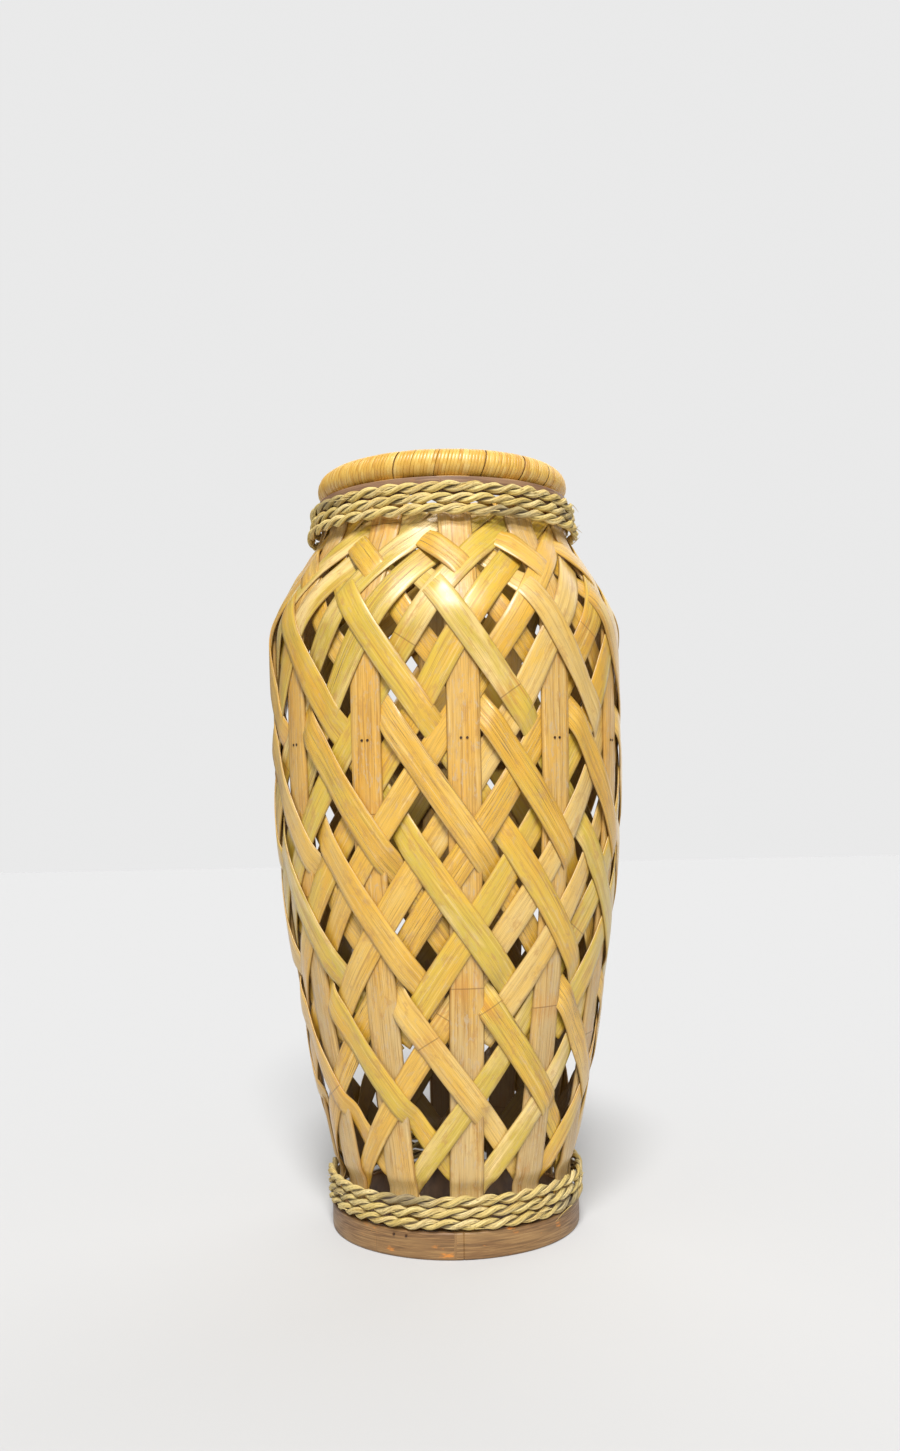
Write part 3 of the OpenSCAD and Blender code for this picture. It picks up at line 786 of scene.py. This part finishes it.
def make_rim():
    """The fine strip wound round the rim's core, turn beside turn."""
    rng = np.random.default_rng(3)
    tube = (RIM_HIGH[2] - RIM_LOW[2]) / 2
    ring = RIM_HIGH[0] - tube
    centre_z = (RIM_HIGH[2] + RIM_LOW[2]) / 2
    pitch = 360 / RIM_TURNS
    t = np.arange(RIM_TURNS * TURN_POINTS) / TURN_POINTS
    jitter = np.repeat(rng.uniform(-0.22, 0.22, RIM_TURNS), TURN_POINTS)
    tones = np.repeat(rng.random(RIM_TURNS), TURN_POINTS)
    heights = np.repeat(rng.uniform(-0.12, 0.12, RIM_TURNS), TURN_POINTS)
    kernel = np.ones(TURN_POINTS // 2) / (TURN_POINTS // 2)
    jitter = np.convolve(jitter, kernel, mode="same")
    heights = np.convolve(heights, kernel, mode="same")
    a = 180 + pitch * (t + jitter)
    for gap in RIM_GAPS:
        shift = (a - gap % 360 + 180) % 360 - 180
        a = a + np.sign(shift) * 0.22 * pitch * np.exp(-((shift / (1.6 * pitch)) ** 2))
    around = 2 * np.pi * t
    section = np.array(TURN_SECTION)
    slant = 0.9 * np.sin(around)
    local = tube - 0.3 + heights
    across = section[:, 0][None, :] * TURN_WIDTH * pitch + (slant * pitch)[:, None]
    angle = np.radians(a[:, None] + across)
    lift = local[:, None] + section[:, 1][None, :]
    radial = ring + lift * np.cos(around)[:, None]
    height = centre_z + lift * np.sin(around)[:, None]
    points = np.stack([radial * np.sin(angle), -radial * np.cos(angle), height], axis=-1)
    shape = points.shape[:2]
    grain_across = np.broadcast_to(section[:, 0][None, :] * 2.4, shape) + np.floor(t)[:, None] * 5.3
    grain_along = np.broadcast_to((t * 2 * math.pi * tube)[:, None], shape)
    uv = np.stack([grain_across, grain_along], axis=-1)
    values = {"tone": tones[:, None], "edge": np.abs(section[::-1, 0])[None, :] * 2}
    piece = sweep("rim_winding", points[:, ::-1], rim_winding, uv[:, ::-1], values)
    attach(piece, "root")
    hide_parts("rim_wrap")


# ---------------------------------------------------------------- bands


def make_band(name, node, material, low, high, thick, round_r, grooves, wobble, seed):
    """A bent band with eased edges, an uneven face, the groove of its joint and cracks.

    A groove is its angle, its depth, how far it leans over the band and the heights it spans."""
    r_out = high[0]
    z0, z1 = low[2], high[2]
    base = np.arange(0, 360, 1.2)
    near = [g[0] + np.linspace(-1.5, 1.5 + g[2], 26) for g in grooves]
    angles = np.unique(np.round(np.concatenate([base] + near) % 360, 3))
    corner = np.linspace(0, np.pi / 2, 5)
    outline = []
    for sx, sz, start in ((1, 1, 0), (-1, 1, np.pi / 2), (-1, -1, np.pi), (1, -1, 3 * np.pi / 2)):
        cx = r_out - round_r if sx > 0 else r_out - thick + round_r
        cz = z1 - round_r if sz > 0 else z0 + round_r
        outline += [(cx + round_r * np.cos(start + c), cz + round_r * np.sin(start + c)) for c in corner]
        if start == 3 * np.pi / 2:
            outline += [(r_out, z0 + (z1 - z0) * f) for f in (0.3, 0.5, 0.7)]
    outline = np.array(outline)[::-1]
    rad = np.radians(angles)
    share = ((outline[:, 1] - z0) / (z1 - z0))[None, :]
    groove = 0
    for at, depth, lean, bottom, top in grooves:
        shift = (angles[:, None] - at - lean * share + 180) % 360 - 180
        within = (share >= bottom) & (share <= top)
        groove = groove + depth * within * np.exp(-((shift / 0.2) ** 2))
    uneven = wobble * (np.sin(3 * rad + seed) + 0.6 * np.sin(7 * rad + 2 * seed)) - wobble * 1.6
    face = (outline[:, 0] > r_out - thick / 2)[None, :]
    r = outline[:, 0][None, :] + face * (uneven[:, None] - groove)
    z = np.broadcast_to(outline[:, 1][None, :], r.shape)
    points = np.stack([r * np.sin(rad)[:, None], -r * np.cos(rad)[:, None], z], axis=-1)
    uv = np.stack([z - z0, np.broadcast_to((rad * r_out)[:, None], r.shape)], axis=-1)
    piece = sweep(name, points, material, uv, {}, closed_path=True)
    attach(piece, "root")
    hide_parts(node)


FOOT_GROOVES = (
    (3, 0.9, 0, 0, 1),
    (52, 0.7, 0.5, 0.35, 1),
    (24, 0.5, 9, 0.1, 0.8),
    (-38, 0.5, 0.6, 0, 0.5),
)
NECK_GROOVES = ((150, 0.8, 0, 0, 1),)


def make_bands():
    """The outer hoops of the foot and the neck."""
    foot, neck = (FOOT_HOOP_LOW, FOOT_HOOP_HIGH), (NECK_HOOP_LOW, NECK_HOOP_HIGH)
    make_band("foot_band", "foot_hoop", foot_brown, *foot, 6.2, 1.6, FOOT_GROOVES, 0.18, 1)
    make_band("neck_band", "neck_hoop", neck_brown, *neck, 3.6, 0.8, NECK_GROOVES, 0.1, 4)


def dress_cad_nodes():
    """CAD nodes whose shape is right keep it and get their material."""
    finishes = {
        "inner_foot_hoop": inner_band,
        "waist_hoop": inner_band,
        "inner_neck_hoop": inner_band,
        "rim_core": inner_band,
        "floor_disc": board,
        "foot_nails": steel,
        "waist_nails": steel,
        "neck_nails": steel,
    }
    for node, material in finishes.items():
        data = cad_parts[node].data
        data.materials.clear()
        data.materials.append(material)


# ---------------------------------------------------------------- stage, light and camera


def plain_material(name, color, rough):
    """One even matt colour."""
    s = Shader(name)
    s.bsdf.inputs["Base Color"].default_value = (*color, 1)
    s.bsdf.inputs["Roughness"].default_value = rough
    s.bsdf.inputs["Specular IOR Level"].default_value = 0.0
    return s.material


FLOOR_HALF = 6000
FLOOR_GREY = (0.56, 0.56, 0.56)


def make_stage():
    """The plain pale floor."""
    far = FLOOR_HALF
    verts = [(-far, -far, 0), (far, -far, 0), (far, far, 0), (-far, far, 0)]
    paint = plain_material("floor_paint", FLOOR_GREY, 0.9)
    floor = mesh_object("floor", verts, [(0, 1, 2, 3)], paint)


def sun(name, towards, spread, strength):
    """An even light from far off, as broad as a softbox; it lights the floor alike everywhere."""
    data = bpy.data.lights.new(name, "SUN")
    data.angle = math.radians(spread)
    data.energy = strength
    light = link(bpy.data.objects.new(name, data))
    light.rotation_euler = Vector(towards).to_track_quat("Z", "Y").to_euler()


WORLD_SEEN, WORLD_LIT = (0.82, 0.82, 0.82, 1), 0.22


def make_light():
    """A pale backdrop for the camera, a dimmer sky for the light, and five suns."""
    world = bpy.data.worlds.new("studio")
    world.use_nodes = True
    bpy.context.scene.world = world
    tree = world.node_tree
    seen = tree.nodes["Background"]
    seen.inputs["Color"].default_value = WORLD_SEEN
    seen.inputs["Strength"].default_value = 1.0
    lit = tree.nodes.new("ShaderNodeBackground")
    lit.inputs["Color"].default_value = (1, 1, 1, 1)
    lit.inputs["Strength"].default_value = WORLD_LIT
    rays = tree.nodes.new("ShaderNodeLightPath")
    choose = tree.nodes.new("ShaderNodeMixShader")
    tree.links.new(rays.outputs["Is Camera Ray"], choose.inputs[0])
    tree.links.new(lit.outputs[0], choose.inputs[1])
    tree.links.new(seen.outputs[0], choose.inputs[2])
    tree.links.new(choose.outputs[0], tree.nodes["World Output"].inputs["Surface"])
    sun("key", (0.08, -1, 0.85), 13, 2.0)
    sun("top", (-0.05, -0.6, 1), 14, 2.3)
    sun("fill_left", (-1, -0.75, 0.45), 90, 0.35)
    sun("fill_right", (1, -0.9, 0.4), 90, 0.3)
    sun("back", (0.3, 1, 0.6), 70, 1.1)


FOCAL_PX, FRAME_H = 1282.0, 1451
CAMERA_DISTANCE, CAMERA_HEIGHT = 1040.0, 336.0
HORIZON_BELOW_CENTRE, AXIS_RIGHT_OF_CENTRE = 77.5, -1.8
ROLL = 1.14


def make_camera():
    """The photo's camera: level, with its frame shifted and a little roll."""
    data = bpy.data.cameras.new("camera")
    data.sensor_width = 36.0
    data.lens = FOCAL_PX / FRAME_H * data.sensor_width
    data.shift_y = HORIZON_BELOW_CENTRE / FRAME_H
    data.shift_x = -AXIS_RIGHT_OF_CENTRE / FRAME_H
    data.clip_start, data.clip_end = 0.05, 50
    cam = link(bpy.data.objects.new("camera", data))
    cam.location = (0, -CAMERA_DISTANCE * MM, CAMERA_HEIGHT * MM)
    cam.rotation_euler = (math.radians(90), math.radians(ROLL), 0)
    bpy.context.scene.camera = cam


bpy.context.scene.view_settings.view_transform = "Standard"
make_camera()
make_light()
make_stage()
make_strips()
make_stakes()
make_rope("neck_rope", NECK_ROPE_Z, True, 2, 0.0)
make_rope("foot_rope", FOOT_ROPE_Z, False, 7, 0.16)
make_fibres("neck_rope", NECK_ROPE_Z, True, 34, 3)
make_fibres("foot_rope", FOOT_ROPE_Z, False, 24, 8)
make_rim()
make_bands()
dress_cad_nodes()
